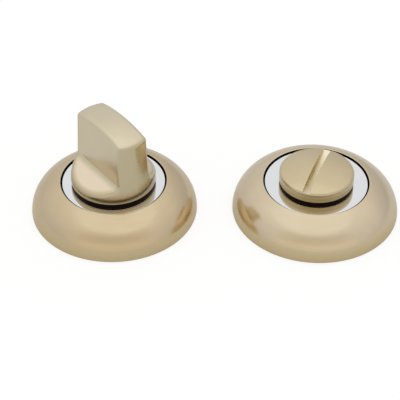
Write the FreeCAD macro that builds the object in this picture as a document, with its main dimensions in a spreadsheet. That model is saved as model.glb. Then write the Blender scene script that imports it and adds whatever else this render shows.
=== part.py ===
"""Bathroom thumb turn lock: an inside thumb turn and an outside emergency release.

Each half lies flat on its back with its own axis upright. Both halves share the same rose
cover, centre disc, base plate, bush, spring, stop washer and circlip. They differ in the
turned head, in the width of the bush flange and in the screw fixing of the base plate.
"""
import FreeCAD, Part
import math
import os

import Sketcher

SHEET = "Sizes"
TOLERANCE = 1e-3

# Driving sizes in millimetres and degrees
SIZES = {
    # Layout of the two halves
    "axis_spacing": 63.2,
    "turn_angle": -52.8,
    "release_angle": 69.8,
    # Domed rose cover
    "rose_margin": 7.0,
    "rose_wall": 1.6,
    "foot_round": 0.5,
    "dome_centre_radius": 11.85,
    "rim_radius": 16.5,
    "rim_height": 11.5,
    "rim_round": 0.25,
    # Polished centre disc
    "disc_drop": 0.63,
    "disc_thick": 1.0,
    "disc_gap": 0.45,
    # Base plate with its hub
    "plate_thick": 2.6,
    "cover_clearance": 0.1,
    "hub_wall": 3.3,
    "recess_clearance": 1.0,
    "recess_height": 6.0,
    "stop_slot_clearance": 0.6,
    "screw_spacing": 38.0,
    "screw_hole_radius": 2.15,
    "tapped_hole_radius": 1.65,
    "post_wall": 1.35,
    "post_height": 4.2,
    # Flanged bearing bush
    "bush_wall": 1.4,
    "flange_inset": 0.2,
    "flange_thick": 0.95,
    "seat_clearance": 0.03,
    "run_clearance": 0.05,
    # Stem with its spindle socket
    "stem_wall": 1.2,
    "stem_lift": 1.0,
    "stem_flat_depth": 0.8,
    "socket_width": 6.1,
    "socket_roof": 0.4,
    # Spring, stop washer and circlip on the stem
    "spring_height": 0.8,
    "spring_thick": 0.4,
    "spring_width": 2.1,
    "spring_clearance": 0.3,
    "washer_thick": 1.2,
    "washer_wall": 2.1,
    "lug_length": 3.0,
    "lug_angle": 30.0,
    "stop_travel": 90.0,
    "stop_clearance_angle": 1.5,
    "clip_thick": 0.8,
    "clip_wall": 1.5,
    "clip_gap_angle": 28.0,
    "clip_lug_radius": 1.2,
    "clip_eye_radius": 0.55,
    "groove_depth": 0.5,
    "groove_play": 0.1,
    # Thumb turn knob
    "knob_base_radius": 13.2,
    "knob_foot_round": 0.5,
    "knob_top_radius": 12.5,
    "knob_height": 22.5,
    "knob_crown": 1.8,
    "knob_edge_round": 1.5,
    "blade_top_half": 5.0,
    "blade_foot_half": 5.6,
    "scoop_start": 6.6,
    "scoop_radius": 1.6,
    "shoulder_height": 2.4,
    # Slotted emergency release head
    "head_radius": 11.63,
    "head_height": 3.7,
    "head_edge_round": 1.0,
    "head_foot_round": 0.3,
    "slot_width": 2.05,
    "slot_depth": 2.0,
    "slot_cutter_radius": 47.0,
}


class Size:
    """A number together with the sheet expression that gives it."""

    def __init__(self, text, value):
        self.text = text
        self.value = value

    def _join(self, sign, other, value):
        other_text = other.text if isinstance(other, Size) else repr(other)
        return Size(f"({self.text} {sign} {other_text})", value)

    def __add__(self, other):
        return self._join("+", other, self.value + number(other))

    def __sub__(self, other):
        return self._join("-", other, self.value - number(other))

    def __mul__(self, other):
        return self._join("*", other, self.value * number(other))

    def __truediv__(self, other):
        return self._join("/", other, self.value / number(other))

    def __neg__(self):
        return Size(f"(0 - {self.text})", -self.value)


def number(size):
    """The plain number of a Size or of a number."""
    return size.value if isinstance(size, Size) else float(size)


def root(size):
    """The square root of a Size."""
    return Size(f"sqrt({size.text})", math.sqrt(size.value))


def cosine(angle):
    """The cosine of a Size in degrees."""
    return Size(f"cos({angle.text} * 1 deg)", math.cos(math.radians(angle.value)))


def sine(angle):
    """The sine of a Size in degrees."""
    return Size(f"sin({angle.text} * 1 deg)", math.sin(math.radians(angle.value)))


doc = FreeCAD.newDocument("ThumbTurnLock")
sheet = doc.addObject("Spreadsheet::Sheet", SHEET)
for row, (alias, value) in enumerate(SIZES.items(), start=1):
    sheet.set(f"A{row}", alias)
    sheet.set(f"B{row}", str(value))
    sheet.setAlias(f"B{row}", alias)
doc.recompute()


def size(alias):
    """The Size held by one cell of the sheet."""
    return Size(f"{SHEET}.{alias}", float(sheet.get(alias)))


ZERO = Size("0", 0.0)
ONE = Size("1", 1.0)
FULL_TURN = Size("360", 360.0)

# Heights that several pieces share, measured from the door face
DISC_TOP = size("rim_height") - size("disc_drop")
DISC_FOOT = DISC_TOP - size("disc_thick")
FLANGE_TOP = DISC_TOP + size("flange_thick")
HEAD_FOOT = FLANGE_TOP + size("run_clearance")
SPRING_FOOT = size("recess_height") - size("spring_height")
WASHER_TOP = SPRING_FOOT - size("run_clearance")
WASHER_FOOT = WASHER_TOP - size("washer_thick")
CLIP_FOOT = WASHER_FOOT - size("clip_thick")
GROOVE_FOOT = CLIP_FOOT - size("groove_play")

# Radii that several pieces share: the stem holds the socket, and the rest follows outwards
SOCKET_HALF = size("socket_width") / 2
STEM_RADIUS = SOCKET_HALF * math.sqrt(2) + size("stem_wall")
STEM_FLAT = STEM_RADIUS - size("stem_flat_depth")
GROOVE_RADIUS = STEM_RADIUS - size("groove_depth")
BUSH_BORE = STEM_RADIUS + size("run_clearance")
BUSH_RADIUS = BUSH_BORE + size("bush_wall")
BUSH_SEAT = BUSH_RADIUS + size("seat_clearance")
WASHER_RADIUS = STEM_RADIUS + size("washer_wall")
LUG_RADIUS = WASHER_RADIUS + size("lug_length")
RECESS_RADIUS = WASHER_RADIUS + size("recess_clearance")
STOP_SLOT_RADIUS = LUG_RADIUS + size("stop_slot_clearance")
HUB_RADIUS = STOP_SLOT_RADIUS + size("hub_wall")
SCREW_OFFSET = size("screw_spacing") / 2
ROSE_RADIUS = SCREW_OFFSET + size("rose_margin")
COVER_BORE = ROSE_RADIUS - size("rose_wall")


def origin_plane(body, role):
    """The origin plane of a body with the given role."""
    return next(item for item in body.Origin.OriginFeatures if item.Role == role)


def new_body(label, half):
    """A body on the axis of one half, turned to the angle at which that half lies."""
    body = doc.addObject("PartDesign::Body", label)
    body.Label = label
    side = -1 if half == "turn" else 1
    angle = size(f"{half}_angle")
    turned = FreeCAD.Rotation(FreeCAD.Vector(0, 0, 1), angle.value)
    body.Placement = FreeCAD.Placement(FreeCAD.Vector(0, 0, 0), turned)
    body.setExpression("Placement.Base.x", (size("axis_spacing") * (side / 2)).text)
    body.setExpression("Placement.Rotation.Angle", f"{angle.text} * 1 deg")
    return body


def new_sketch(body, name, role):
    """A sketch on one of the body's own origin planes."""
    sketch = body.newObject("Sketcher::SketchObject", name)
    sketch.AttachmentSupport = [(origin_plane(body, role), "")]
    sketch.MapMode = "FlatFace"
    return sketch


def bind_constraint(sketch, constraint, value):
    """Add a dimensional constraint and tie it to its size."""
    index = sketch.addConstraint(constraint)
    sketch.setExpression(f"Constraints[{index}]", value.text)


def place_point(sketch, item, end, x, y):
    """Fix a point of the sketch at x, y from its origin."""
    if x.value == 0:
        sketch.addConstraint(Sketcher.Constraint("PointOnObject", item, end, -2))
    else:
        bind_constraint(sketch, Sketcher.Constraint("DistanceX", -1, 1, item, end, x.value), x)
    if y.value == 0:
        sketch.addConstraint(Sketcher.Constraint("PointOnObject", item, end, -1))
    else:
        bind_constraint(sketch, Sketcher.Constraint("DistanceY", -1, 1, item, end, y.value), y)


def arc_between(start, end, radius, side):
    """The shorter arc from start to end, with its centre to the left (1) or right (-1)."""
    chord = end - start
    middle = (start + end) * 0.5
    left = FreeCAD.Vector(-chord.y, chord.x, 0).normalize()
    reach = math.sqrt(radius ** 2 - (chord.Length / 2) ** 2)
    centre = middle + left * (side * reach)
    first, last = (start, end) if side > 0 else (end, start)
    angles = [math.atan2(point.y - centre.y, point.x - centre.x) for point in (first, last)]
    whole = Part.Circle(centre, FreeCAD.Vector(0, 0, 1), radius)
    return Part.ArcOfCircle(whole, angles[0], angles[1])


def ellipse_between(start, end, centre):
    """The arc of an upright ellipse from start to end, and whether its long axis is level."""
    x0, y0, x1, y1 = start.x - centre.x, start.y - centre.y, end.x - centre.x, end.y - centre.y
    share = (x0 * y1) ** 2 - (x1 * y0) ** 2
    across = math.sqrt(share / (y1 ** 2 - y0 ** 2))
    upright = math.sqrt(share / (x0 ** 2 - x1 ** 2))
    first, last = sorted(math.atan2(y / upright, x / across) for x, y in ((x0, y0), (x1, y1)))
    level = across >= upright
    if level:
        ellipse = Part.Ellipse(centre, across, upright)
    else:
        long_end = centre + FreeCAD.Vector(0, upright, 0)
        short_end = centre - FreeCAD.Vector(across, 0, 0)
        ellipse = Part.Ellipse(long_end, short_end, centre)
        first, last = first - math.pi / 2, last - math.pi / 2
    return Part.ArcOfEllipse(ellipse, first, last), level


def closed_outline(sketch, corners, arcs=None, ellipses=None):
    """Draw a closed outline through the corners.

    arcs maps the number of a side to its radius and the side its centre lies on, and
    ellipses maps it to the centre of an upright ellipse and the side that lies on.
    """
    arcs, ellipses = arcs or {}, ellipses or {}
    points = [FreeCAD.Vector(x.value, y.value, 0) for x, y in corners]
    ends = []
    for side, start in enumerate(points):
        end = points[(side + 1) % len(points)]
        if side in arcs:
            radius, centre_side = arcs[side]
            item = sketch.addGeometry(arc_between(start, end, radius.value, centre_side))
            ends.append((item, 1, 2) if centre_side > 0 else (item, 2, 1))
        elif side in ellipses:
            x, y, centre_side = ellipses[side]
            centre = FreeCAD.Vector(x.value, y.value, 0)
            curve, level = ellipse_between(start, end, centre)
            item = sketch.addGeometry(curve)
            ends.append((item, 1, 2) if centre_side > 0 else (item, 2, 1))
            long_axis = sketch.GeometryCount
            sketch.exposeInternalGeometry(item)
            lie = "Horizontal" if level else "Vertical"
            sketch.addConstraint(Sketcher.Constraint(lie, long_axis))
            place_point(sketch, item, 3, x, y)
        else:
            item = sketch.addGeometry(Part.LineSegment(start, end))
            ends.append((item, 1, 2))
    for side, (item, _, last) in enumerate(ends):
        following = ends[(side + 1) % len(ends)]
        sketch.addConstraint(
            Sketcher.Constraint("Coincident", item, last, following[0], following[1]))
    for (item, first, _), (x, y) in zip(ends, corners):
        place_point(sketch, item, first, x, y)
    for side, (radius, _) in arcs.items():
        bind_constraint(sketch, Sketcher.Constraint("Radius", ends[side][0], radius.value), radius)


def circle(sketch, x, radius):
    """Draw a circle centred on the sketch's X axis."""
    centre = FreeCAD.Vector(x.value, 0, 0)
    item = sketch.addGeometry(Part.Circle(centre, FreeCAD.Vector(0, 0, 1), radius.value))
    place_point(sketch, item, 3, x, ZERO)
    bind_constraint(sketch, Sketcher.Constraint("Radius", item, radius.value), radius)


def ring_sector(sketch, inner, outer, start, end):
    """Draw a sector of a ring round the sketch's origin, from start to end in degrees."""
    axis = FreeCAD.Vector(0, 0, 1)
    spot = FreeCAD.Vector(0, 0, 0)
    low, high = math.radians(start.value), math.radians(end.value)
    arcs = []
    for radius in (inner, outer):
        arc = Part.ArcOfCircle(Part.Circle(spot, axis, radius.value), low, high)
        item = sketch.addGeometry(arc)
        sketch.addConstraint(Sketcher.Constraint("Coincident", item, 3, -1, 1))
        bind_constraint(sketch, Sketcher.Constraint("Radius", item, radius.value), radius)
        arcs.append(item)
    for end_number, angle in ((1, start), (2, end)):
        way = FreeCAD.Vector(math.cos(math.radians(angle.value)),
                             math.sin(math.radians(angle.value)), 0)
        line = sketch.addGeometry(Part.LineSegment(way * inner.value, way * outer.value))
        sketch.addConstraint(Sketcher.Constraint("Coincident", line, 1, arcs[0], end_number))
        sketch.addConstraint(Sketcher.Constraint("Coincident", line, 2, arcs[1], end_number))
        sketch.addConstraint(Sketcher.Constraint("PointOnObject", -1, 1, line))
        turn = Sketcher.Constraint("Angle", line, math.radians(angle.value))
        index = sketch.addConstraint(turn)
        sketch.setExpression(f"Constraints[{index}]", f"{angle.text} * 1 deg")


def revolve(body, name, corners, arcs=None, ellipses=None):
    """Turn a closed section, drawn as radius and height, round the body's axis."""
    sketch = new_sketch(body, f"{name}_section", "XZ_Plane")
    closed_outline(sketch, corners, arcs, ellipses)
    feature = body.newObject("PartDesign::Revolution", name)
    feature.Profile = sketch
    feature.ReferenceAxis = (sketch, ["V_Axis"])
    feature.Angle = FULL_TURN.value
    doc.recompute()
    return feature


def cut_up(body, name, sketch, height):
    """Cut a sketch on the door face upwards to a height, and test that it removed metal."""
    return cut(body, name, sketch, height, True, False)


def cut_across(body, name, sketch, width):
    """Cut a sketch by half the width to each side of its plane."""
    return cut(body, name, sketch, width, False, True)


def cut(body, name, sketch, length, upwards, both_sides):
    """Pocket a sketch and stop if nothing was removed."""
    before = body.Shape.Volume
    feature = body.newObject("PartDesign::Pocket", name)
    feature.Profile = sketch
    feature.Reversed = upwards
    feature.Midplane = both_sides
    feature.setExpression("Length", length.text)
    doc.recompute()
    if not body.Shape.Volume < before:
        raise RuntimeError(f"{body.Label}: {name} cut nothing")
    return feature


def raise_up(body, name, sketch, foot, height):
    """Pad a sketch on the door face, lifted to the foot, by a height."""
    sketch.setExpression("AttachmentOffset.Base.z", foot.text)
    feature = body.newObject("PartDesign::Pad", name)
    feature.Profile = sketch
    feature.setExpression("Length", height.text)
    doc.recompute()
    return feature


def round_edges(body, name, feature, radius, wanted):
    """Fillet the edges of a feature for which the test holds."""
    edges = [f"Edge{index}" for index, edge in enumerate(feature.Shape.Edges, start=1)
             if wanted(edge)]
    fillet = body.newObject("PartDesign::Fillet", name)
    fillet.Base = (feature, edges)
    fillet.setExpression("Radius", radius.text)
    doc.recompute()
    return fillet


def rose_cover(half):
    """The domed cover: a thin turned shell with a round hole for the centre disc."""
    body = new_body(f"{half}_rose_cover", half)
    rose, wall, foot = ROSE_RADIUS, size("rose_wall"), size("foot_round")
    rim, top, middle = size("rim_radius"), size("rim_height"), size("dome_centre_radius")
    # The dome is part of an ellipse that stands upright on the foot and ends at the rim
    across, reach = rose - middle, rim - middle
    upright = (top - foot) / root(ONE - (reach / across) * (reach / across))
    inner_across, inner_upright = across - wall, upright - wall
    share = reach / inner_across
    rim_foot = foot + inner_upright * root(ONE - share * share)
    # A straight land inside the foot takes the edge of the base plate
    land = size("plate_thick") + size("cover_clearance")
    rise = (land - foot) / inner_upright
    land_r = middle + inner_across * root(ONE - rise * rise)
    corners = [
        (COVER_BORE, ZERO),
        (rose - foot, ZERO),
        (rose, foot),
        (rim, top),
        (rim, rim_foot),
        (land_r, land),
        (COVER_BORE, land),
    ]
    domes = {2: (middle, foot, 1), 4: (middle, foot, -1)}
    shell = revolve(body, "shell", corners, {1: (foot, 1)}, domes)
    edge = size("rim_round")
    round_edges(body, "rim_edge", shell, edge, lambda item: on_ring(item, rim, top))
    return body


def on_ring(edge, radius, height):
    """True for a level round edge of the given radius at the given height."""
    spot = edge.Vertexes[0].Point
    level = edge.BoundBox.ZLength < TOLERANCE and abs(spot.z - height.value) < TOLERANCE
    return level and abs(math.hypot(spot.x, spot.y) - radius.value) < TOLERANCE


def centre_disc(half):
    """The polished disc that shows inside the rim of the cover."""
    body = new_body(f"{half}_centre_disc", half)
    outer = size("rim_radius") - size("disc_gap")
    corners = [(BUSH_SEAT, DISC_FOOT), (outer, DISC_FOOT), (outer, DISC_TOP), (BUSH_SEAT, DISC_TOP)]
    revolve(body, "disc", corners)
    return body


def base_plate(half):
    """The mounting plate: flange, hub, stop recess and two screw holes."""
    body = new_body(f"{half}_base_plate", half)
    outer = COVER_BORE - size("cover_clearance")
    plate, shoulder = size("plate_thick"), size("recess_height")
    corners = [
        (RECESS_RADIUS, ZERO),
        (outer, ZERO),
        (outer, plate),
        (HUB_RADIUS, plate),
        (HUB_RADIUS, DISC_FOOT),
        (BUSH_SEAT, DISC_FOOT),
        (BUSH_SEAT, shoulder),
        (RECESS_RADIUS, shoulder),
    ]
    revolve(body, "casting", corners)
    hole, depth = size("screw_hole_radius"), plate
    if half == "release":
        hole, depth = size("tapped_hole_radius"), size("post_height")
        post = hole + size("post_wall")
        posts = new_sketch(body, "post_circles", "XY_Plane")
        circle(posts, SCREW_OFFSET, post)
        circle(posts, -SCREW_OFFSET, post)
        raise_up(body, "posts", posts, plate, depth - plate)
    holes = new_sketch(body, "screw_circles", "XY_Plane")
    circle(holes, SCREW_OFFSET, hole)
    circle(holes, -SCREW_OFFSET, hole)
    cut_up(body, "screw_holes", holes, depth)
    reach = (size("stop_travel") + size("lug_angle")) / 2 + size("stop_clearance_angle")
    slot = new_sketch(body, "stop_slot_sector", "XY_Plane")
    ring_sector(slot, WASHER_RADIUS, STOP_SLOT_RADIUS, -reach, reach)
    cut_up(body, "stop_slot", slot, shoulder)
    return body


def bearing_bush(half):
    """The black flanged bush: its flange is the dark ring under the head."""
    body = new_body(f"{half}_bearing_bush", half)
    head = size("knob_base_radius") if half == "turn" else size("head_radius")
    flange = head - size("flange_inset")
    foot = size("recess_height")
    corners = [
        (BUSH_BORE, foot),
        (BUSH_RADIUS, foot),
        (BUSH_RADIUS, DISC_TOP),
        (flange, DISC_TOP),
        (flange, FLANGE_TOP),
        (BUSH_BORE, FLANGE_TOP),
    ]
    revolve(body, "bush", corners)
    return body


def disc_spring(half):
    """The coned spring washer that takes up the play of the head."""
    body = new_body(f"{half}_disc_spring", half)
    inner = STEM_RADIUS + size("spring_clearance")
    outer = inner + size("spring_width")
    foot, top, thick = SPRING_FOOT, size("recess_height"), size("spring_thick")
    corners = [(inner, top - thick), (outer, foot), (outer, foot + thick), (inner, top)]
    revolve(body, "cone", corners)
    return body


def stop_washer(half):
    """The keyed washer whose lug runs in the stop slot of the base plate."""
    body = new_body(f"{half}_stop_washer", half)
    thick = size("washer_thick")
    ring = new_sketch(body, "ring_circle", "XY_Plane")
    circle(ring, ZERO, WASHER_RADIUS)
    raise_up(body, "ring", ring, WASHER_FOOT, thick)
    # The lug stands at one end of its travel when the lock is open
    middle = size("stop_travel") / 2
    half_lug = size("lug_angle") / 2
    lug = new_sketch(body, "lug_sector", "XY_Plane")
    ring_sector(lug, STEM_RADIUS, LUG_RADIUS, middle - half_lug, middle + half_lug)
    raise_up(body, "lug", lug, WASHER_FOOT, thick)
    key = new_sketch(body, "key_hole", "XY_Plane")
    clearance = size("seat_clearance")
    double_flat(key, STEM_RADIUS + clearance, STEM_FLAT + clearance)
    cut_up(body, "key_cut", key, WASHER_TOP)
    return body


def double_flat(sketch, radius, flat):
    """Draw a round outline with two flats at plus and minus flat."""
    reach = root(radius * radius - flat * flat)
    corners = [(reach, -flat), (reach, flat), (-reach, flat), (-reach, -flat)]
    closed_outline(sketch, corners, {0: (radius, 1), 2: (radius, 1)})


def circlip(half):
    """The spring clip in the groove of the stem, with two eyes for pliers."""
    body = new_body(f"{half}_circlip", half)
    inner = GROOVE_RADIUS + size("seat_clearance")
    outer = inner + size("clip_wall")
    gap, thick = size("clip_gap_angle"), size("clip_thick")
    ring = new_sketch(body, "clip_ring", "XY_Plane")
    ring_sector(ring, inner, outer, gap, FULL_TURN - gap)
    raise_up(body, "ring", ring, CLIP_FOOT, thick)
    # The two eyes stand beside the gap, outside the groove
    lug = size("clip_lug_radius")
    eye_ring = inner + lug + size("seat_clearance")
    eyes = (eye_ring * cosine(gap), eye_ring * sine(gap))
    lugs = new_sketch(body, "lug_circles", "XY_Plane")
    twin_circles(lugs, eyes, lug)
    raise_up(body, "lugs", lugs, CLIP_FOOT, thick)
    holes = new_sketch(body, "eye_circles", "XY_Plane")
    twin_circles(holes, eyes, size("clip_eye_radius"))
    cut_up(body, "eyes", holes, WASHER_FOOT)
    return body


def twin_circles(sketch, centre, radius):
    """Draw two circles that mirror each other across the sketch's X axis."""
    x, y = centre
    for height in (y, -y):
        spot = FreeCAD.Vector(x.value, height.value, 0)
        item = sketch.addGeometry(Part.Circle(spot, FreeCAD.Vector(0, 0, 1), radius.value))
        place_point(sketch, item, 3, x, height)
        bind_constraint(sketch, Sketcher.Constraint("Radius", item, radius.value), radius)


def stem_corners():
    """The section of the stem from its foot up to the underside of the head."""
    stem = STEM_RADIUS
    return [
        (ZERO, size("stem_lift")),
        (stem, size("stem_lift")),
        (stem, GROOVE_FOOT),
        (GROOVE_RADIUS, GROOVE_FOOT),
        (GROOVE_RADIUS, WASHER_FOOT),
        (stem, WASHER_FOOT),
        (stem, HEAD_FOOT),
    ]


def finish_stem(body):
    """Cut the two key flats and the square spindle socket into the stem."""
    stem, flat, half = STEM_RADIUS, STEM_FLAT, SOCKET_HALF
    flats = new_sketch(body, "key_flats", "XY_Plane")
    for side in (1, -1):
        near, far = (flat, stem + flat) if side > 0 else (-flat, -(stem + flat))
        corners = [(-stem, near), (stem, near), (stem, far), (-stem, far)]
        closed_outline(flats, corners)
    cut_up(body, "flats", flats, SPRING_FOOT)
    socket = new_sketch(body, "socket_square", "XY_Plane")
    closed_outline(socket, [(-half, -half), (half, -half), (half, half), (-half, half)])
    cut_up(body, "socket", socket, HEAD_FOOT - size("socket_roof"))


def knob():
    """The thumb turn: a tapered round body with a hollow scooped from each side."""
    body = new_body("turn_knob", "turn")
    base, foot = size("knob_base_radius"), size("knob_foot_round")
    top, crown = size("knob_top_radius"), size("knob_crown")
    crest = HEAD_FOOT + size("knob_height")
    crown_radius = (top * top + crown * crown) / (crown * 2)
    corners = stem_corners() + [
        (base - foot, HEAD_FOOT),
        (base, HEAD_FOOT + foot),
        (top, crest - crown),
        (ZERO, crest),
    ]
    stem_sides = len(stem_corners())
    revolve(body, "blank", corners, {stem_sides: (foot, 1), stem_sides + 2: (crown_radius, 1)})
    scoops = new_sketch(body, "scoop_sections", "YZ_Plane")
    for side in (1, -1):
        scoop_section(scoops, side, crest)
    # The scoops run right across the knob and out at both of its sides
    blade = cut_across(body, "scoops", scoops, base * 3)
    low, edge = (HEAD_FOOT + foot).value, size("knob_edge_round")
    round_edges(body, "soft_edges", blade, edge, lambda item: is_blade_edge(item, low))
    finish_stem(body)
    return body


def is_blade_edge(edge, low):
    """True for the edges round the blade: not the seams, nor the lines where a scoop starts."""
    box = edge.BoundBox
    on_seam = max(abs(box.YMin), abs(box.YMax)) < TOLERANCE
    along_blade = max(box.YLength, box.ZLength) < TOLERANCE
    return box.ZMin > low + TOLERANCE and not on_seam and not along_blade


def scoop_section(sketch, side, crest):
    """Draw the section of one scoop: a flat, a hollow and a ramp down to the shoulder."""
    top, flat, radius = size("blade_top_half"), size("blade_foot_half"), size("scoop_radius")
    start = HEAD_FOOT + size("scoop_start")
    # The hollow leaves the drafted flat smoothly
    draft, fall = flat - top, crest - start
    slope = root(draft * draft + fall * fall)
    centre_y, centre_z = flat + radius * fall / slope, start + radius * draft / slope
    edge_y = size("knob_base_radius")
    edge_z = HEAD_FOOT + size("shoulder_height")
    # The ramp is the tangent from the shoulder to the hollow
    over, down = edge_y - centre_y, centre_z - edge_z
    apart = over * over + down * down
    pull = radius * radius / apart
    turn = radius * root(apart - radius * radius) / apart
    foot_y = centre_y + pull * over - turn * down
    foot_z = centre_z - pull * down - turn * over
    out_y = edge_y + (edge_y - foot_y) / 2
    out_z = edge_z - (foot_z - edge_z) / 2
    corners = [(top, crest), (flat, start), (foot_y, foot_z), (out_y, out_z), (out_y, crest)]
    if side > 0:
        closed_outline(sketch, corners, {1: (radius, 1)})
    else:
        closed_outline(sketch, [(-y, z) for y, z in corners], {1: (radius, -1)})


def release_head():
    """The emergency release: a low round head with a coin slot across it."""
    body = new_body("release_head", "release")
    radius, foot = size("head_radius"), size("head_foot_round")
    edge = size("head_edge_round")
    crest = HEAD_FOOT + size("head_height")
    corners = stem_corners() + [
        (radius - foot, HEAD_FOOT),
        (radius, HEAD_FOOT + foot),
        (radius, crest - edge),
        (radius - edge, crest),
        (ZERO, crest),
    ]
    stem_sides = len(stem_corners())
    revolve(body, "blank", corners, {stem_sides: (foot, 1), stem_sides + 2: (edge, 1)})
    slot = new_sketch(body, "slot_section", "XZ_Plane")
    floor, cutter = crest - size("slot_depth"), size("slot_cutter_radius")
    reach = radius + edge
    rise = cutter - root(cutter * cutter - reach * reach)
    above = crest + size("slot_depth")
    corners = [(-reach, floor + rise), (reach, floor + rise), (reach, above), (-reach, above)]
    closed_outline(slot, corners, {0: (cutter, 1)})
    cut_across(body, "coin_slot", slot, size("slot_width"))
    finish_stem(body)
    return body


def write_parts(bodies):
    """Test every object and solid, then write one file for each body."""
    doc.recompute()
    failed = [item.Name for item in doc.Objects
              if "Invalid" in item.State or "Error" in item.State]
    if failed:
        raise RuntimeError(f"failed objects: {failed}")
    for body in bodies:
        shape = body.Shape
        if shape.isNull() or not shape.isValid() or len(shape.Solids) != 1:
            raise RuntimeError(f"bad solid: {body.Label}")
    os.makedirs("parts", exist_ok=True)
    for body in bodies:
        body.Shape.exportStep(f"parts/{body.Label}.step")
        box = body.Shape.BoundBox
        print(f"{body.Label}: {body.Shape.Volume:.1f} mm3, z {box.ZMin:.2f} to {box.ZMax:.2f}")


pieces = []
for half_name in ("turn", "release"):
    for make in (rose_cover, centre_disc, base_plate, bearing_bush, disc_spring, stop_washer, circlip):
        pieces.append(make(half_name))
pieces.append(knob())
pieces.append(release_head())
write_parts(pieces)
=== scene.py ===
"""Finishes, turned skins and studio for the bathroom thumb turn lock.

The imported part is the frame. The turned pieces that show (rose covers, centre discs and
bearing bushes) are spun again as fine skins, the knob gets a smooth skin of its solid, the
release head is spun with its low crown, and the pieces behind the roses keep their solids and
get their own finish. Sizes are in millimetres where nothing else is said.
"""

import logging
import math
from dataclasses import dataclass, field
from enum import Enum
from typing import Any

import bmesh
import bpy
from mathutils import Matrix, Vector


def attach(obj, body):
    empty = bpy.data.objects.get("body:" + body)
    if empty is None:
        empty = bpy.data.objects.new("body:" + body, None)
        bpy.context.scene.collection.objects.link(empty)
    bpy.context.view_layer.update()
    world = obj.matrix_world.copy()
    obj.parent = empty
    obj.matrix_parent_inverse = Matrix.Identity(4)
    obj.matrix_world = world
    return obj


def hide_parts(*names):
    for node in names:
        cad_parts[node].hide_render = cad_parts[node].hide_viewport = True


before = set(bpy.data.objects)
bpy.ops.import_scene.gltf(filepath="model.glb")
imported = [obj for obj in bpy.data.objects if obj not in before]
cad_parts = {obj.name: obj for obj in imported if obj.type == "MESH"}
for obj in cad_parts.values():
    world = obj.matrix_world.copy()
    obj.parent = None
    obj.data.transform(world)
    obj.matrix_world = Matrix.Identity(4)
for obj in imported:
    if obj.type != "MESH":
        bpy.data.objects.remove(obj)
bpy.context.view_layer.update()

LOG = logging.getLogger("thumb_turn_lock")
MM = 0.001
# Points of a mesh that lie nearer than this are merged, in metres
MERGE = 1e-6
# Wider, so that the slivers where the knob's rounded edges meet close up too
SKIN_MERGE = 3e-5
# Edges that bend by more than this many degrees stay sharp
SHARP_ANGLE = 32.0
# How many short sides make one rounded corner of a section
ROUND_STEPS = 6
# How far from its ends a side gets its extra points, and how long it has to be for them
BRACE_REACH = 0.04
BRACE_LEAST = 10 * BRACE_REACH
Point = tuple[float, float]
Corner = tuple[float, float, float]


class Half(Enum):
    """The two halves of the lock, by the first word of their nodes."""

    TURN = "turn"
    RELEASE = "release"


class Grain(Enum):
    """Which way the satin lines of a brushed piece run."""

    ROUND = "round the axis"
    ALONG = "along the stem"


class Measure(Enum):
    """What a tone of the brass follows, in millimetres from the half's own axes."""

    HEIGHT = "height above the door"
    RADIUS = "distance from the axis"
    SIDE = "distance from the middle plane of the blade"


@dataclass(frozen=True)
class Tone:
    """A tone that sets in at one distance and is full at another."""

    colour: str
    measure: Measure
    start: float
    full: float


@dataclass(frozen=True)
class Place:
    """Where one half lies: its axis and the angle it is turned to."""

    axis_x: float
    angle: float

    def to_local(self) -> Matrix:
        """The matrix from the frame to the half's own axes."""
        turn = Matrix.Rotation(-math.radians(self.angle), 4, "Z")
        return turn @ Matrix.Translation((-self.axis_x * MM, 0.0, 0.0))


PLACES = {Half.TURN: Place(-31.6, -52.8), Half.RELEASE: Place(31.6, 69.8)}


def linear(code: str) -> tuple[float, float, float, float]:
    """Turn an sRGB hex colour into linear light, by the standard curve.

    Args:
        code: The colour as six hex digits after a hash sign.

    Returns:
        Red, green, blue and an alpha of one.
    """
    parts = [int(code[i:i + 2], 16) / 255.0 for i in (1, 3, 5)]
    red, green, blue = (
        part / 12.92 if part <= 0.04045 else ((part + 0.055) / 1.055) ** 2.4 for part in parts
    )
    return red, green, blue, 1.0


def add_node(
    tree: bpy.types.NodeTree,
    kind: str,
    inputs: dict[str | int, Any] | None = None,
    **settings: Any,
) -> bpy.types.Node:
    """Add a node with its settings, values and links.

    Args:
        tree: The tree that takes the node.
        kind: Blender's name for the kind of node.
        inputs: Values, or sockets to link, by the name or number of the input.
        settings: Properties of the node.

    Returns:
        The new node.
    """
    node = tree.nodes.new(kind)
    for key, value in settings.items():
        setattr(node, key, value)
    for key, value in (inputs or {}).items():
        if isinstance(value, bpy.types.NodeSocket):
            tree.links.new(value, node.inputs[key])
        else:
            node.inputs[key].default_value = value
    return node


def new_material(name: str) -> tuple[bpy.types.Material, bpy.types.NodeTree]:
    """Make an empty node material.

    Args:
        name: The name of the material.

    Returns:
        The material and its cleared node tree.
    """
    material = bpy.data.materials.new(name)
    material.use_nodes = True
    material.node_tree.nodes.clear()
    return material, material.node_tree


def local_millimetres(tree: bpy.types.NodeTree, place: Place) -> bpy.types.NodeSocket:
    """Object coordinates in millimetres, centred on the axis of one half and turned with it.

    Args:
        tree: The tree that takes the nodes.
        place: Where the half lies.

    Returns:
        The vector socket with the local position.
    """
    position = add_node(tree, "ShaderNodeTexCoord").outputs["Object"]
    mapping = add_node(
        tree,
        "ShaderNodeMapping",
        {
            "Vector": position,
            "Location": (place.axis_x * MM, 0.0, 0.0),
            "Rotation": (0.0, 0.0, math.radians(place.angle)),
            "Scale": (MM, MM, MM),
        },
        vector_type="TEXTURE",
    )
    return mapping.outputs[0]


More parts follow.
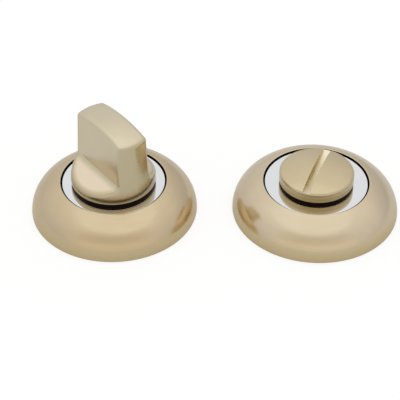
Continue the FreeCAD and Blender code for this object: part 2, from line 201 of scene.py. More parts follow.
@dataclass(frozen=True)
class SatinBrass:
    """Brass, plated and brushed to a satin antique shade.

    The fine brush lines blur what the metal mirrors. Its tones paint shade low down on the covers
    and on the round sides and foot of the knob, and a painted highlight on the ramps of the knob.
    """

    name: str
    half: Half
    grain: Grain
    bright: str
    dull: str
    tones: tuple[Tone, ...]
    roughness: float = 0.2
    roughness_spread: float = 0.08
    # The real lines stand about 0.05 mm apart, too fine to show, so they are drawn coarser
    line_spacing: float = 0.35
    line_length: float = 14.0
    # Lines round the axis have that length at this distance from it
    line_radius: float = 20.0
    line_depth: float = 0.004
    line_strength: float = 0.25
    line_contrast: float = 0.55
    line_detail: float = 4.0
    cloud_size: float = 9.0
    cloud_detail: float = 3.0

    def build(self) -> bpy.types.Material:
        """Make the material.

        Returns:
            The finished material.
        """
        material, tree = new_material(self.name)
        position = local_millimetres(tree, PLACES[self.half])
        axes = add_node(tree, "ShaderNodeSeparateXYZ", {0: position}).outputs
        across = add_node(
            tree, "ShaderNodeVectorMath", {0: position, 1: (1.0, 1.0, 0.0)}, operation="MULTIPLY"
        ).outputs[0]
        radius = add_node(tree, "ShaderNodeVectorMath", {0: across}, operation="LENGTH")
        side = add_node(tree, "ShaderNodeMath", {0: axes["Y"]}, operation="ABSOLUTE")
        measures = {
            Measure.HEIGHT: axes["Z"],
            Measure.RADIUS: radius.outputs["Value"],
            Measure.SIDE: side.outputs[0],
        }
        if self.grain is Grain.ALONG:
            lines = self._upright_lines(tree, position)
        else:
            lines = self._round_lines(tree, across, measures)
        rough = add_node(
            tree,
            "ShaderNodeMapRange",
            {
                "Value": lines,
                "To Min": self.roughness - self.roughness_spread / 2,
                "To Max": self.roughness + self.roughness_spread / 2,
            },
        )
        bump = add_node(
            tree,
            "ShaderNodeBump",
            {"Height": lines, "Strength": self.line_strength, "Distance": self.line_depth * MM},
        )
        shader = add_node(
            tree,
            "ShaderNodeBsdfPrincipled",
            {
                "Base Color": self._colour(tree, position, lines, measures),
                "Metallic": 1.0,
                "Roughness": rough.outputs[0],
                "Normal": bump.outputs[0],
            },
        )
        add_node(tree, "ShaderNodeOutputMaterial", {"Surface": shader.outputs[0]})
        return material

    def _colour(
        self,
        tree: bpy.types.NodeTree,
        position: bpy.types.NodeSocket,
        lines: bpy.types.NodeSocket,
        measures: dict[Measure, bpy.types.NodeSocket],
    ) -> bpy.types.NodeSocket:
        """The clouded colour of the brass with its tones laid over it in order.

        Args:
            tree: The tree that takes the nodes.
            position: The local position in millimetres.
            lines: The height of the brush lines.
            measures: The distances that a tone can follow.

        Returns:
            The socket with the colour.
        """
        clouds = add_node(
            tree,
            "ShaderNodeTexNoise",
            {"Vector": position, "Scale": 1.0 / self.cloud_size, "Detail": self.cloud_detail},
        )
        streaks = add_node(
            tree,
            "ShaderNodeMath",
            {0: lines, 1: self.line_contrast, 2: -self.line_contrast / 2},
            operation="MULTIPLY_ADD",
        )
        wear = add_node(
            tree, "ShaderNodeMath", {0: clouds.outputs[0], 1: streaks.outputs[0]}, operation="ADD"
        )
        layers = [(wear, self.dull)]
        for tone in self.tones:
            share = add_node(
                tree,
                "ShaderNodeMapRange",
                {"Value": measures[tone.measure], "From Min": tone.start, "From Max": tone.full},
                interpolation_type="SMOOTHSTEP",
            )
            layers.append((share, tone.colour))
        colour: Any = linear(self.bright)
        for share, code in layers:
            mix = add_node(
                tree,
                "ShaderNodeMix",
                {"Factor": share.outputs[0], "A": colour, "B": linear(code)},
                data_type="RGBA",
            )
            colour = mix.outputs["Result"]
        return colour

    def _upright_lines(
        self, tree: bpy.types.NodeTree, position: bpy.types.NodeSocket
    ) -> bpy.types.NodeSocket:
        """Brush lines along the stem, as a value from 0 to 1.

        Args:
            tree: The tree that takes the nodes.
            position: The local position in millimetres.

        Returns:
            The socket with the height of the lines.
        """
        fine = 1.0 / self.line_spacing
        drawn = add_node(
            tree,
            "ShaderNodeVectorMath",
            {0: position, 1: (fine, fine, 1.0 / self.line_length)},
            operation="MULTIPLY",
        )
        noise = add_node(
            tree,
            "ShaderNodeTexNoise",
            {"Vector": drawn.outputs[0], "Scale": 1.0, "Detail": self.line_detail},
        )
        return noise.outputs[0]

    def _round_lines(
        self,
        tree: bpy.types.NodeTree,
        across: bpy.types.NodeSocket,
        measures: dict[Measure, bpy.types.NodeSocket],
    ) -> bpy.types.NodeSocket:
        """Brush lines round the axis, as a value from 0 to 1.

        Args:
            tree: The tree that takes the nodes.
            across: The local position without its height, in millimetres.
            measures: The distances from the half's own axes.

        Returns:
            The socket with the height of the lines.
        """
        fine = 1.0 / self.line_spacing
        way = add_node(tree, "ShaderNodeVectorMath", {0: across}, operation="NORMALIZE")
        turns = add_node(
            tree,
            "ShaderNodeVectorMath",
            {0: way.outputs[0], "Scale": self.line_radius / self.line_length},
            operation="SCALE",
        )
        rows, rings = (
            add_node(tree, "ShaderNodeMath", {0: measures[kind], 1: fine}, operation="MULTIPLY")
            for kind in (Measure.HEIGHT, Measure.RADIUS)
        )
        rise = add_node(tree, "ShaderNodeCombineXYZ", {"Z": rows.outputs[0]})
        spot = add_node(
            tree,
            "ShaderNodeVectorMath",
            {0: turns.outputs[0], 1: rise.outputs[0]},
            operation="ADD",
        )
        noise = add_node(
            tree,
            "ShaderNodeTexNoise",
            {
                "Vector": spot.outputs[0],
                "W": rings.outputs[0],
                "Scale": 1.0,
                "Detail": self.line_detail,
            },
            noise_dimensions="4D",
        )
        return noise.outputs[0]


@dataclass(frozen=True)
class PlainFinish:
    """A finish of one colour with fine mottling: polished, moulded, milled or cast.

    The mottling shifts the colour and the roughness a little, at the size of the grit or grain.
    """

    name: str
    colour: str
    second: str
    roughness: float
    roughness_spread: float
    grain_size: float
    grain_depth: float
    grain_strength: float = 0.3
    grain_detail: float = 5.0
    metallic: float = 1.0
    specular: float = 0.5

    def build(self) -> bpy.types.Material:
        """Make the material.

        Returns:
            The finished material.
        """
        material, tree = new_material(self.name)
        position = add_node(tree, "ShaderNodeTexCoord").outputs["Object"]
        noise = add_node(
            tree,
            "ShaderNodeTexNoise",
            {
                "Vector": position,
                "Scale": 1.0 / (self.grain_size * MM),
                "Detail": self.grain_detail,
            },
        ).outputs[0]
        colour = add_node(
            tree,
            "ShaderNodeMix",
            {"Factor": noise, "A": linear(self.colour), "B": linear(self.second)},
            data_type="RGBA",
        )
        rough = add_node(
            tree,
            "ShaderNodeMapRange",
            {
                "Value": noise,
                "To Min": self.roughness - self.roughness_spread / 2,
                "To Max": self.roughness + self.roughness_spread / 2,
            },
        )
        bump = add_node(
            tree,
            "ShaderNodeBump",
            {"Height": noise, "Strength": self.grain_strength, "Distance": self.grain_depth * MM},
        )
        shader = add_node(
            tree,
            "ShaderNodeBsdfPrincipled",
            {
                "Base Color": colour.outputs["Result"],
                "Metallic": self.metallic,
                "Roughness": rough.outputs[0],
                "Specular IOR Level": self.specular,
                "Normal": bump.outputs[0],
            },
        )
        add_node(tree, "ShaderNodeOutputMaterial", {"Surface": shader.outputs[0]})
        return material


# Mirror chrome shows the room with hardly any blur
POLISHED_CHROME = PlainFinish(
    "polished_chrome", "#F1F3F5", "#ECEEF0",
    roughness=0.03, roughness_spread=0.02, grain_size=3.0, grain_depth=0.0002,
)
# Moulded nylon drinks most light and keeps a dull sheen
BLACK_NYLON = PlainFinish(
    "black_moulded_nylon", "#150A04", "#100703",
    roughness=0.5, roughness_spread=0.1, grain_size=0.4, grain_depth=0.004,
    metallic=0.0, specular=0.06,
)
# A zinc casting is grey and a little uneven
CAST_ZINC = PlainFinish(
    "cast_zinc", "#9A9B9D", "#848588",
    roughness=0.45, roughness_spread=0.15, grain_size=0.8, grain_depth=0.01,
)
# Rolled spring steel is darker than zinc and smoother
SPRING_STEEL = PlainFinish(
    "spring_steel", "#7C7D80", "#6C6D70",
    roughness=0.3, roughness_spread=0.1, grain_size=0.5, grain_depth=0.003,
)
# The milled floor of the slot is bare, pale brass, lifted almost to white as a painted highlight
# that gleams along its length
MILLED_BRASS_AND_HIGHLIGHT = PlainFinish(
    "milled_brass_painted_highlight", "#FFF8E2", "#FBF0D2",
    roughness=0.48, roughness_spread=0.08, grain_size=1.2, grain_depth=0.001,
)
# No brush reaches the walls of the slot, so they keep the olive tone of the patina
SLOT_PATINA = PlainFinish(
    "slot_patina", "#E6D8AA", "#DAC998",
    roughness=0.55, roughness_spread=0.1, grain_size=1.2, grain_depth=0.001,
)
# The wall inside the hole of the rose is painted almost black: painted shade for the narrow, shaded
# gap over the disc
HOLE_PAINTED_SHADE = PlainFinish(
    "hole_painted_shade", "#2E2318", "#211810",
    roughness=0.45, roughness_spread=0.1, grain_size=0.4, grain_depth=0.003,
)


def soften(corners: list[Corner]) -> list[Point]:
    """Round the corners of a closed section.

    Args:
        corners: Radius, height and rounding of each corner.

    Returns:
        The points of the softened section.
    """
    points: list[Point] = []
    for index, (x, y, rounding) in enumerate(corners):
        if rounding == 0.0:
            points.append((x, y))
            continue
        here = Vector((x, y))
        before = (Vector(corners[index - 1][:2]) - here).normalized()
        after = (Vector(corners[(index + 1) % len(corners)][:2]) - here).normalized()
        half_open = before.angle(after) / 2
        centre = here + (before + after).normalized() * (rounding / math.sin(half_open))
        first = here + before * (rounding / math.tan(half_open)) - centre
        last = here + after * (rounding / math.tan(half_open)) - centre
        sweep = first.angle(last)
        for step in range(ROUND_STEPS + 1):
            share = step / ROUND_STEPS
            spoke = first * math.sin((1 - share) * sweep) + last * math.sin(share * sweep)
            spot = centre + spoke / math.sin(sweep)
            points.append((spot.x, spot.y))
    return points


def brace(points: list[Point], closed: bool = True) -> list[Point]:
    """Add a point close to each end of every long side, so that flats stay flat when shaded.

    Args:
        points: Radius and height of the points of a section.
        closed: Whether the last point runs back to the first.

    Returns:
        The section with the added points.
    """
    braced: list[Point] = []
    for index, start in enumerate(points):
        end = points[(index + 1) % len(points)]
        braced.append(start)
        length = math.dist(start, end)
        if length > BRACE_LEAST and (closed or index + 1 < len(points)):
            for share in (BRACE_REACH / length, 1 - BRACE_REACH / length):
                braced.append((
                    start[0] + (end[0] - start[0]) * share,
                    start[1] + (end[1] - start[1]) * share,
                ))
    return braced


def add_object(name: str, data: bpy.types.ID) -> bpy.types.Object:
    """Make an object and link it to the scene.

    Args:
        name: The name of the object.
        data: Its mesh, light or camera.

    Returns:
        The new object.
    """
    made = bpy.data.objects.new(name, data)
    bpy.context.scene.collection.objects.link(made)
    return made


def plain_copy(source: bpy.types.Object, name: str) -> bpy.types.Object:
    """Turn an object with modifiers into a new object with a plain mesh.

    Args:
        source: The object to read.
        name: The name of the new object.

    Returns:
        The new object, linked to the scene.
    """
    graph = bpy.context.evaluated_depsgraph_get()
    mesh = bpy.data.meshes.new_from_object(source.evaluated_get(graph))
    mesh.name = name
    return add_object(name, mesh)


def merge_points(mesh: bpy.types.Mesh, reach: float) -> None:
    """Merge the points of a mesh that lie close together.

    Args:
        mesh: The mesh to mend.
        reach: How near two points have to be, in metres.
    """
    work = bmesh.new()
    work.from_mesh(mesh)
    bmesh.ops.remove_doubles(work, verts=work.verts, dist=reach)
    work.to_mesh(mesh)
    work.free()


def shade(piece: bpy.types.Object) -> None:
    """Shade a piece smooth, apart from its sharp edges."""
    piece.data.shade_smooth()
    piece.data.set_sharp_from_angle(angle=math.radians(SHARP_ANGLE))


class Lathe:
    """A geometry node tree that spins a section round an upright axis."""

    PATH_RADIUS = 1.0
    SEGMENTS = 256
    INPUTS = {
        "Section": "NodeSocketGeometry",
        "Segments": "NodeSocketInt",
        "Axis": "NodeSocketVector",
        "Finish": "NodeSocketMaterial",
    }

    def __init__(self) -> None:
        """Build the tree with its named inputs."""
        self.tree = bpy.data.node_groups.new("lathe", "GeometryNodeTree")
        sockets = self.tree.interface
        self.keys: dict[str, str] = {}
        for name, kind in self.INPUTS.items():
            socket = sockets.new_socket(name, in_out="INPUT", socket_type=kind)
            self.keys[name] = socket.identifier
        sockets.new_socket("Piece", in_out="OUTPUT", socket_type="NodeSocketGeometry")
        given = add_node(self.tree, "NodeGroupInput").outputs
        section = add_node(self.tree, "GeometryNodeMeshToCurve", {0: given["Section"]})
        path = add_node(
            self.tree,
            "GeometryNodeCurvePrimitiveCircle",
            {"Resolution": given["Segments"], "Radius": self.PATH_RADIUS * MM},
            mode="RADIUS",
        )
        upright = add_node(
            self.tree, "GeometryNodeSetCurveNormal", {0: path.outputs[0]}, mode="Z_UP"
        )
        spun = add_node(
            self.tree,
            "GeometryNodeCurveToMesh",
            {"Curve": upright.outputs[0], "Profile Curve": section.outputs[0]},
        )
        placed = add_node(
            self.tree,
            "GeometryNodeTransform",
            {"Geometry": spun.outputs[0], "Translation": given["Axis"]},
        )
        real = add_node(self.tree, "GeometryNodeRealizeInstances", {0: placed.outputs[0]})
        dressed = add_node(
            self.tree,
            "GeometryNodeSetMaterial",
            {"Geometry": real.outputs[0], "Material": given["Finish"]},
        )
        add_node(self.tree, "NodeGroupOutput", {0: dressed.outputs[0]})

    def spin(
        self, name: str, section: list[Point], half: Half, material: bpy.types.Material
    ) -> bpy.types.Object:
        """Spin a section into a plain mesh on the axis of one half.

        Args:
            name: The name of the new piece.
            section: Radius and height of its points, clockwise. One that starts on the axis
                ends there too.
            half: The half whose axis it is spun round.
            material: The finish of the piece.

        Returns:
            The finished object.
        """
        count = len(section)
        sides = [(i, i + 1) for i in range(count - 1)]
        if section[0][0] > 0.0:
            sides.append((count - 1, 0))
        drawing = bpy.data.meshes.new(f"{name}_section")
        drawing.from_pydata(
            [((r - self.PATH_RADIUS) * MM, -z * MM, 0.0) for r, z in section], sides, []
        )
        blank = add_object(f"{name}_blank", drawing)
        modifier = blank.modifiers.new("lathe", "NODES")
        modifier.node_group = self.tree
        modifier[self.keys["Segments"]] = self.SEGMENTS
        modifier[self.keys["Axis"]] = (PLACES[half].axis_x * MM, 0.0, 0.0)
        modifier[self.keys["Finish"]] = material
        piece = plain_copy(blank, name)
        bpy.data.objects.remove(blank)
        merge_points(piece.data, MERGE)
        shade(piece)
        return piece


def smooth_skin(node: str, name: str) -> bpy.types.Object:
    """A merged copy of a solid that keeps the solid's own shading normals.

    Args:
        node: The node to copy.
        name: The name of the new piece.

    Returns:
        The new object, with no material.
    """
    label = "kept_normal"
    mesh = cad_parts[node].data.copy()
    mesh.name = name
    mesh.materials.clear()
    kept = mesh.attributes.new(label, "FLOAT_VECTOR", "CORNER")
    kept.data.foreach_set("vector", [part for item in mesh.corner_normals for part in item.vector])
    merge_points(mesh, SKIN_MERGE)
    mesh.normals_split_custom_set([item.vector for item in mesh.attributes[label].data])
    mesh.attributes.remove(mesh.attributes[label])
    return add_object(name, mesh)


def settle(piece: bpy.types.Object, node: str, body: str) -> None:
    """Let a finished piece stand for a node and report it.

    Args:
        piece: The finished object.
        node: The node that it stands for.
        body: The body that it moves with.
    """
    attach(piece, body)
    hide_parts(node)
    LOG.info("%s stands for %s, %d faces", piece.name, node, len(piece.data.polygons))


@dataclass
class Rose:
    """The fixed pieces of one half that show: cover, centre disc and bearing bush."""

    half: Half
    flange_radius: float
    bright: str
    dull: str
    outer_radius: float = 26.0
    wall: float = 1.6
    foot_round: float = 0.5
    # The rounding of the foot ends just short of the last step of the dome
    foot_share: float = 0.98
    dome_centre: float = 11.85
    dome_steps: int = 56
    rim_radius: float = 16.5
    rim_height: float = 11.5
    rim_round: float = 0.25
    # How squarely a face has to look at the axis to belong to the wall of the hole
    hole_facing: float = 0.8
    land_height: float = 2.7
    disc_radius: float = 16.05
    disc_top: float = 10.87
    disc_thick: float = 1.0
    bush_bore: float = 5.5635
    bush_radius: float = 6.9635
    seat_clearance: float = 0.03
    bush_foot: float = 6.0
    flange_thick: float = 0.95
    edge_round: float = 0.12

    def build(
        self,
        lathe: Lathe,
        chrome: bpy.types.Material,
        nylon: bpy.types.Material,
        patina_and_shade: bpy.types.Material,
    ) -> None:
        """Spin and dress the three pieces.

        Args:
            lathe: The tree that spins a section.
            chrome: The finish of the centre disc.
            nylon: The finish of the bearing bush.
            patina_and_shade: The painted shade inside the hole of the cover.
        """
        word = self.half.value
        # Satin lines run round the dome, and painted shade darkens it low down, where it mirrors
        # the shaded floor
        brass = SatinBrass(
            f"satin_brass_{word}_cover", self.half, Grain.ROUND, self.bright, self.dull,
            tones=(Tone("#D7C49B", Measure.HEIGHT, 6.0, 2.0),),
        ).build()
        pieces = (
            ("rose_cover", self.cover_section(), brass, "satin_brass"),
            ("centre_disc", self.disc_section(), chrome, "polished_chrome"),
            ("bearing_bush", self.bush_section(), nylon, "black_nylon"),
        )
        for kind, section, material, slot in pieces:
            piece = lathe.spin(f"{word}_{kind}_skin", section, self.half, material)
            if kind == "rose_cover":
                # The wall of the hole gets its painted shade
                self.paint_hole_shade(piece, patina_and_shade)
            settle(piece, f"{word}_{kind}", "roses")

    def paint_hole_shade(self, cover: bpy.types.Object, patina_and_shade: bpy.types.Material) -> None:
        """Paint the wall of the hole almost black, as painted shade.

        Args:
            cover: The finished cover.
            patina_and_shade: The black painted shade.
        """
        black = len(cover.data.materials)
        cover.data.materials.append(patina_and_shade)
        to_local = PLACES[self.half].to_local()
        for face in cover.data.polygons:
            spot = to_local @ face.center
            spot.z = 0.0
            inward = -spot.normalized().dot(to_local.to_3x3() @ face.normal)
            if inward > self.hole_facing and spot.length / MM < self.rim_radius + self.rim_round:
                face.material_index = black

    def half_axes(self, depth: float) -> tuple[float, float]:
        """The half axes of the dome, or of a face inside it.

        Args:
            depth: How far the wanted face lies inside the outer one.

        Returns:
            The half axis across and the upright one.
        """
        across = self.outer_radius - self.dome_centre
        share = (self.rim_radius - self.dome_centre) / across
        upright = (self.rim_height - self.foot_round) / math.sqrt(1 - share * share)
        return across - depth, upright - depth

    def dome(self, depth: float, start: float, end: float) -> list[Point]:
        """Points along the dome, or along a face inside it.

        Args:
            depth: How far the wanted face lies inside the outer one.
            start: The radius of the first point.
            end: The radius of the last point.

        Returns:
            Radius and height of the points.
        """
        across, upright = self.half_axes(depth)
        first, last = (
            math.acos(min(1.0, (radius - self.dome_centre) / across)) for radius in (start, end)
        )
        points = []
        for step in range(self.dome_steps + 1):
            angle = first + (last - first) * step / self.dome_steps
            points.append((
                self.dome_centre + across * math.cos(angle),
                self.foot_round + upright * math.sin(angle),
            ))
        return points

    def cover_section(self) -> list[Point]:
        """The section of the cover, clockwise from the inside of its foot.

        Returns:
            Radius and height of the points.
        """
        bore = self.outer_radius - self.wall
        across, upright = self.half_axes(self.wall)
        rise = (self.land_height - self.foot_round) / upright
        land_radius = self.dome_centre + across * math.sqrt(1 - rise * rise)
        inner = self.dome(self.wall, land_radius, self.rim_radius)
        outer = self.dome(0.0, self.rim_radius, self.outer_radius)
        top = outer[0]
        # The first steps of the dome make room for the rounded rim
        clear = [point for point in outer if math.dist(point, top) > 2 * self.rim_round]
        corners: list[Corner] = [(bore, 0.0, 0.0), (bore, self.land_height, 0.0)]
        corners += [(*point, 0.0) for point in inner]
        corners += [(*top, self.rim_round)]
        corners += [(*point, 0.0) for point in clear]
        corners += [(self.outer_radius, 0.0, self.foot_share * self.foot_round)]
        return brace(soften(corners))

    def disc_section(self) -> list[Point]:
        """The section of the centre disc, clockwise from its inner foot.

        Returns:
            Radius and height of the points.
        """
        seat = self.bush_radius + self.seat_clearance
        foot = self.disc_top - self.disc_thick
        return brace(soften([
            (seat, foot, 0.0),
            (seat, self.disc_top, self.edge_round),
            (self.disc_radius, self.disc_top, self.edge_round),
            (self.disc_radius, foot, 0.0),
        ]))

    def bush_section(self) -> list[Point]:
        """The section of the bush with its flange, clockwise from its inner foot.

        Returns:
            Radius and height of the points.
        """
        top = self.disc_top + self.flange_thick
        return brace(soften([
            (self.bush_bore, self.bush_foot, 0.0),
            (self.bush_bore, top, self.edge_round),
            (self.flange_radius, top, self.edge_round),
            (self.flange_radius, self.disc_top, self.edge_round),
            (self.bush_radius, self.disc_top, 0.0),
            (self.bush_radius, self.bush_foot, 0.0),
        ]))


@dataclass
class ThumbKnob:
    """The thumb turn with its scooped blade."""

    node: str = "turn_knob"
    body: str = "turn"

    def build(self) -> None:
        """Skin the knob and dress it with upright satin lines."""
        piece = smooth_skin(self.node, "turn_knob_skin")
        # Painted highlight on the ramps, painted shade on the round sides and painted shade at the
        # foot over the black ring
        brass = SatinBrass(
            "satin_brass_knob_painted_light", Half.TURN, Grain.ALONG, bright="#E3D8BD", dull="#D9CDAF",
            tones=(
                Tone("#F0DFC5", Measure.SIDE, 6.2, 7.6),
                Tone("#D0C4A3", Measure.RADIUS, 11.0, 12.6),
                Tone("#B6A07A", Measure.HEIGHT, 15.2, 13.0),
            ),
        )
        piece.data.materials.append(brass.build())
        settle(piece, self.node, self.body)


@dataclass
class ReleaseHead:
    """The slotted head of the emergency release, spun with its low crown."""

    node: str = "release_head"
    body: str = "release"
    radius: float = 11.63
    foot: float = 11.87
    foot_round: float = 0.3
    edge_top: float = 15.57
    edge_round: float = 1.0
    edge_steps: int = 10
    crown: float = 1.3
    crown_steps: int = 40
    slot_half: float = 1.15
    slot_floor: float = 13.57
    cutter_radius: float = 47.0
    cutter_flats: int = 720
    # How squarely a face has to look up, or across the slot, to belong to its floor or walls
    floor_facing: float = 0.5
    wall_facing: float = 0.99
    slack: float = 0.02
    stem_cut: float = 0.05
    stem_sink: float = 0.4

    def build(self, lathe: Lathe) -> None:
        """Spin the head, mill its slot, add the stem and dress it.

        Args:
            lathe: The tree that spins a section.
        """
        # The top is even, and the edge gets darker down to the foot
        brass = SatinBrass(
            "satin_brass_head", Half.RELEASE, Grain.ROUND, bright="#DCCCAA", dull="#D1BF9A",
            tones=(Tone("#B49C6E", Measure.HEIGHT, 15.3, 12.8),),
        ).build()
        blank = lathe.spin("release_head_blank", self.section(), Half.RELEASE, brass)
        cutter = self.cutter()
        cut = blank.modifiers.new("slot", "BOOLEAN")
        cut.operation = "DIFFERENCE"
        cut.solver = "EXACT"
        cut.object = cutter
        piece = plain_copy(blank, "release_head_skin")
        for helper in (blank, cutter):
            bpy.data.objects.remove(helper)
        self.add_stem(piece)
        shade(piece)
        self.dress_slot(piece)
        settle(piece, self.node, self.body)

    def section(self) -> list[Point]:
        """The section from the middle of the crown, over the edge, to the middle of the foot.

        Returns:
            Radius and height of the points.
        """
        inset = self.radius - self.edge_round
        slope = 2 * math.atan(self.crown / inset)
        reach = inset / math.sin(slope)
        sphere = reach + self.edge_round
        edge_middle = self.edge_top - self.edge_round
        crown_middle = edge_middle - reach * math.cos(slope)
        corners: list[Corner] = []
        for step in range(self.crown_steps + 1):
            angle = slope * step / self.crown_steps
            corners.append((sphere * math.sin(angle), crown_middle + sphere * math.cos(angle), 0.0))
        for step in range(1, self.edge_steps + 1):
            angle = slope + (math.pi / 2 - slope) * step / self.edge_steps
            corners.append((
                inset + self.edge_round * math.sin(angle),
                edge_middle + self.edge_round * math.cos(angle),
                0.0,
            ))
        corners += [(self.radius, self.foot, self.foot_round), (0.0, self.foot, 0.0)]
        return brace(soften(corners), closed=False)

    def cutter(self) -> bpy.types.Object:
        """The round cutter that mills the slot, standing over the head.

        Returns:
            The cutter, linked to the scene.
        """
        place = PLACES[Half.RELEASE]
        middle = Vector((place.axis_x, 0.0, self.slot_floor + self.cutter_radius)) * MM
        turned = Matrix.Rotation(math.radians(place.angle), 4, "Z")
        upright = Matrix.Rotation(math.pi / 2, 4, "X")
        mesh = bpy.data.meshes.new("slot_cutter")
        work = bmesh.new()
        bmesh.ops.create_cone(
            work,
            cap_ends=True,
            segments=self.cutter_flats,
            radius1=self.cutter_radius * MM,
            radius2=self.cutter_radius * MM,
            depth=2 * self.slot_half * MM,
            matrix=Matrix.Translation(middle) @ (turned @ upright),
        )
        work.to_mesh(mesh)
        work.free()
        return add_object("slot_cutter", mesh)

    def add_stem(self, piece: bpy.types.Object) -> None:
        """Add the stem of the solid, closed at its top and sunk a little into the head.

        Args:
            piece: The head without its stem.
        """
        work = bmesh.new()
        work.from_mesh(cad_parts[self.node].data)
        bmesh.ops.remove_doubles(work, verts=work.verts, dist=MERGE)
        cut = bmesh.ops.bisect_plane(
            work,
            geom=work.verts[:] + work.edges[:] + work.faces[:],
            plane_co=(0.0, 0.0, (self.foot - self.stem_cut) * MM),
            plane_no=(0.0, 0.0, 1.0),
            clear_outer=True,
        )["geom_cut"]
        rim = [part for part in cut if isinstance(part, bmesh.types.BMEdge)]
        bmesh.ops.contextual_create(work, geom=rim)
        for part in cut:
            if isinstance(part, bmesh.types.BMVert):
                part.co.z += self.stem_sink * MM
        for face in work.faces:
            face.material_index = 0
        work.from_mesh(piece.data)
        work.to_mesh(piece.data)
        work.free()

    def dress_slot(self, piece: bpy.types.Object) -> None:
        """Lay bare the milled floor of the slot with its painted highlight, and keep the patina on
        its walls.

        Args:
            piece: The finished head.
        """
        finishes = piece.data.materials
        milled_and_lit, patina_and_shade = len(finishes), len(finishes) + 1
        finishes.append(MILLED_BRASS_AND_HIGHLIGHT.build())
        finishes.append(SLOT_PATINA.build())
        to_local = PLACES[Half.RELEASE].to_local()
        work = bmesh.new()
        work.from_mesh(piece.data)
        work.normal_update()
        for face in work.faces:
            spot = to_local @ face.calc_center_median() / MM
            way = to_local.to_3x3() @ face.normal
            off_wall = self.slot_half - abs(spot.y)
            if spot.z < self.slot_floor - self.slack or off_wall < -self.slack:
                continue
            # The floor gets the pale brass with its painted highlight
            if off_wall > self.slack and way.z > self.floor_facing:
                face.material_index = milled_and_lit
            elif off_wall < self.slack and abs(way.y) > self.wall_facing:
                face.material_index = patina_and_shade
        # The edges of the slot stay crisp
        for edge in work.edges:
            if len({face.material_index for face in edge.link_faces}) > 1:
                edge.smooth = False
        work.to_mesh(piece.data)
        work.free()


@dataclass
class Works:
    """The pieces behind the roses, which keep their solids."""

    finishes: dict[str, PlainFinish] = field(default_factory=lambda: {
        "base_plate": CAST_ZINC,
        "disc_spring": SPRING_STEEL,
        "stop_washer": SPRING_STEEL,
        "circlip": SPRING_STEEL,
    })

    def build(self) -> None:
        """Give each hidden node its finish."""
        made: dict[str, bpy.types.Material] = {}
        for kind, finish in self.finishes.items():
            if finish.name not in made:
                made[finish.name] = finish.build()
            for half in Half:
                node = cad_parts[f"{half.value}_{kind}"]
                node.data.materials.clear()
                node.data.materials.append(made[finish.name])
                LOG.info("%s keeps its solid in %s", node.name, finish.name)


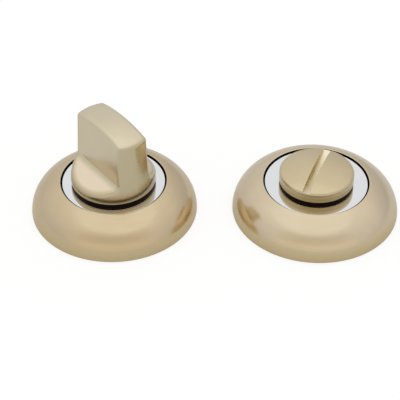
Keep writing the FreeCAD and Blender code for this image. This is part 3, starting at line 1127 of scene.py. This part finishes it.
@dataclass
class Studio:
    """The plain pale floor, the soft light and the camera."""

    floor_size: float = 4000.0
    floor_drop: float = 0.05
    floor_colour: str = "#E5E5E5"
    floor_glow: float = 0.7
    floor_sheen: float = 0.08
    glow_strength: float = 1.15
    camera_spot: tuple[float, float, float] = (-4.637, -363.560, 305.923)
    camera_elevation: float = 39.774
    camera_roll: float = 0.259
    camera_clip: float = 10.0
    lens: float = 135.048
    sensor: float = 36.0
    lamp_spot: tuple[float, float, float] = (0.0, -60.0, 800.0)
    lamp_size: float = 1100.0
    lamp_power: float = 0.36
    # The room's colour from the horizon (0) to overhead (1), away from and behind the camera
    far_wall: tuple[tuple[float, str], ...] = (
        (0.0, "#D2D2D5"), (0.5, "#E2E2E3"), (0.64, "#E7E7E7"), (0.8, "#EFEFEE"), (1.0, "#ECEDED"),
    )
    near_wall: tuple[tuple[float, str], ...] = (
        (0.0, "#E4DED3"), (0.26, "#E8E3D9"), (0.5, "#DAD4C8"), (0.68, "#D3CDC1"),
        (0.82, "#E4E2DE"), (1.0, "#ECEDED"),
    )
    # How far towards the camera the near wall's colour sets in and is full
    near_start: float = -0.25
    near_full: float = -0.85
    # The far right corner of the room gets the least light
    dim_corner: tuple[float, float, float] = (0.64, 0.77, 0.0)
    corner_start: float = 0.65
    corner_full: float = 1.0
    room_level: float = 1.04
    corner_level: float = 0.86

    def build(self) -> None:
        """Set up the floor, the light and the camera."""
        self.lay_floor()
        self.light_room()
        self.hang_lamp()
        self.place_camera()
        bpy.context.scene.view_settings.view_transform = "Standard"

    def lay_floor(self) -> None:
        """Lay a pale floor that looks white to the camera and keeps the shadow of the lock."""
        half = self.floor_size * MM / 2
        low = -self.floor_drop * MM
        mesh = bpy.data.meshes.new("floor")
        mesh.from_pydata(
            [(-half, -half, low), (half, -half, low), (half, half, low), (-half, half, low)],
            [],
            [(0, 1, 2, 3)],
        )
        floor = add_object("floor", mesh)
        material, tree = new_material("white_floor")
        path = add_node(tree, "ShaderNodeLightPath").outputs
        # The metal mirrors the floor a little dimmer than the eye sees it
        rays = (
            ("Is Camera Ray", self.floor_glow),
            ("Is Transmission Ray", self.floor_glow),
            ("Is Glossy Ray", self.floor_sheen),
        )
        share: bpy.types.NodeSocket | float = 0.0
        for ray, strength in rays:
            lit = add_node(
                tree, "ShaderNodeMath", {0: path[ray], 1: strength}, operation="MULTIPLY"
            )
            share = add_node(
                tree, "ShaderNodeMath", {0: share, 1: lit.outputs[0]}, operation="MAXIMUM"
            ).outputs[0]
        matt = add_node(tree, "ShaderNodeBsdfDiffuse", {"Color": linear(self.floor_colour)})
        glow = add_node(tree, "ShaderNodeEmission", {"Strength": self.glow_strength})
        mixed = add_node(
            tree,
            "ShaderNodeMixShader",
            {0: share, 1: matt.outputs[0], 2: glow.outputs[0]},
        )
        add_node(tree, "ShaderNodeOutputMaterial", {"Surface": mixed.outputs[0]})
        mesh.materials.append(material)

    def light_room(self) -> None:
        """Light the room softly: white overhead, warm behind the camera, dimmer in one corner."""
        world = bpy.data.worlds.new("soft_room")
        bpy.context.scene.world = world
        world.use_nodes = True
        tree = world.node_tree
        tree.nodes.clear()
        way = add_node(tree, "ShaderNodeTexCoord").outputs["Generated"]
        axes = add_node(tree, "ShaderNodeSeparateXYZ", {0: way}).outputs
        walls = []
        for stops in (self.far_wall, self.near_wall):
            ramp = add_node(tree, "ShaderNodeValToRGB", {"Fac": axes["Z"]})
            keys = ramp.color_ramp.elements
            while len(keys) < len(stops):
                keys.new(1.0)
            for key, (height, colour) in zip(keys, stops):
                key.position = height
                key.color = linear(colour)
            walls.append(ramp.outputs[0])
        nearness = add_node(
            tree,
            "ShaderNodeMapRange",
            {"Value": axes["Y"], "From Min": self.near_start, "From Max": self.near_full},
            interpolation_type="SMOOTHSTEP",
        )
        room = add_node(
            tree,
            "ShaderNodeMix",
            {"Factor": nearness.outputs[0], "A": walls[0], "B": walls[1]},
            data_type="RGBA",
        )
        aim = add_node(
            tree, "ShaderNodeVectorMath", {0: way, 1: self.dim_corner}, operation="DOT_PRODUCT"
        )
        dimming = add_node(
            tree,
            "ShaderNodeMapRange",
            {
                "Value": aim.outputs["Value"],
                "From Min": self.corner_start,
                "From Max": self.corner_full,
                "To Min": self.room_level,
                "To Max": self.corner_level,
            },
            interpolation_type="SMOOTHSTEP",
        )
        sky = add_node(
            tree,
            "ShaderNodeBackground",
            {"Color": room.outputs["Result"], "Strength": dimming.outputs[0]},
        )
        add_node(tree, "ShaderNodeOutputWorld", {"Surface": sky.outputs[0]})

    def hang_lamp(self) -> None:
        """Hang one large soft lamp above the lock."""
        light = bpy.data.lights.new("soft_box", "AREA")
        light.shape = "DISK"
        light.size = self.lamp_size * MM
        light.energy = self.lamp_power
        lamp = add_object("soft_box", light)
        lamp.location = Vector(self.lamp_spot) * MM

    def place_camera(self) -> None:
        """Stand the camera where the photograph was taken from."""
        tilt, roll = math.radians(self.camera_elevation), math.radians(self.camera_roll)
        ahead = Vector((0.0, math.cos(tilt), -math.sin(tilt)))
        right, above = Vector((1.0, 0.0, 0.0)), Vector((0.0, math.sin(tilt), math.cos(tilt)))
        side = right * math.cos(roll) + above * math.sin(roll)
        top = above * math.cos(roll) - right * math.sin(roll)
        data = bpy.data.cameras.new("camera")
        data.sensor_width = self.sensor
        data.lens = self.lens
        data.clip_start = self.camera_clip * MM
        camera = add_object("camera", data)
        turned = Matrix((side, top, -ahead)).transposed().to_4x4()
        camera.matrix_world = Matrix.Translation(Vector(self.camera_spot) * MM) @ turned
        bpy.context.scene.camera = camera


def main() -> None:
    """Build every sub-assembly in order, then the studio."""
    logging.basicConfig(level=logging.INFO, format="%(name)s: %(message)s")
    lathe = Lathe()
    # The last finish paints shade inside the holes of the roses
    finishes = POLISHED_CHROME.build(), BLACK_NYLON.build(), HOLE_PAINTED_SHADE.build()
    # The plating of the turn half came out a little warmer
    turn_rose = Rose(Half.TURN, flange_radius=13.0, bright="#DDCAA8", dull="#D2BE9B")
    release_rose = Rose(Half.RELEASE, flange_radius=11.43, bright="#E3D3B6", dull="#D8C7A9")
    for rose in (turn_rose, release_rose):
        rose.build(lathe, *finishes)
    ThumbKnob().build()
    ReleaseHead().build(lathe)
    Works().build()
    Studio().build()


if __name__ == "__main__":
    main()
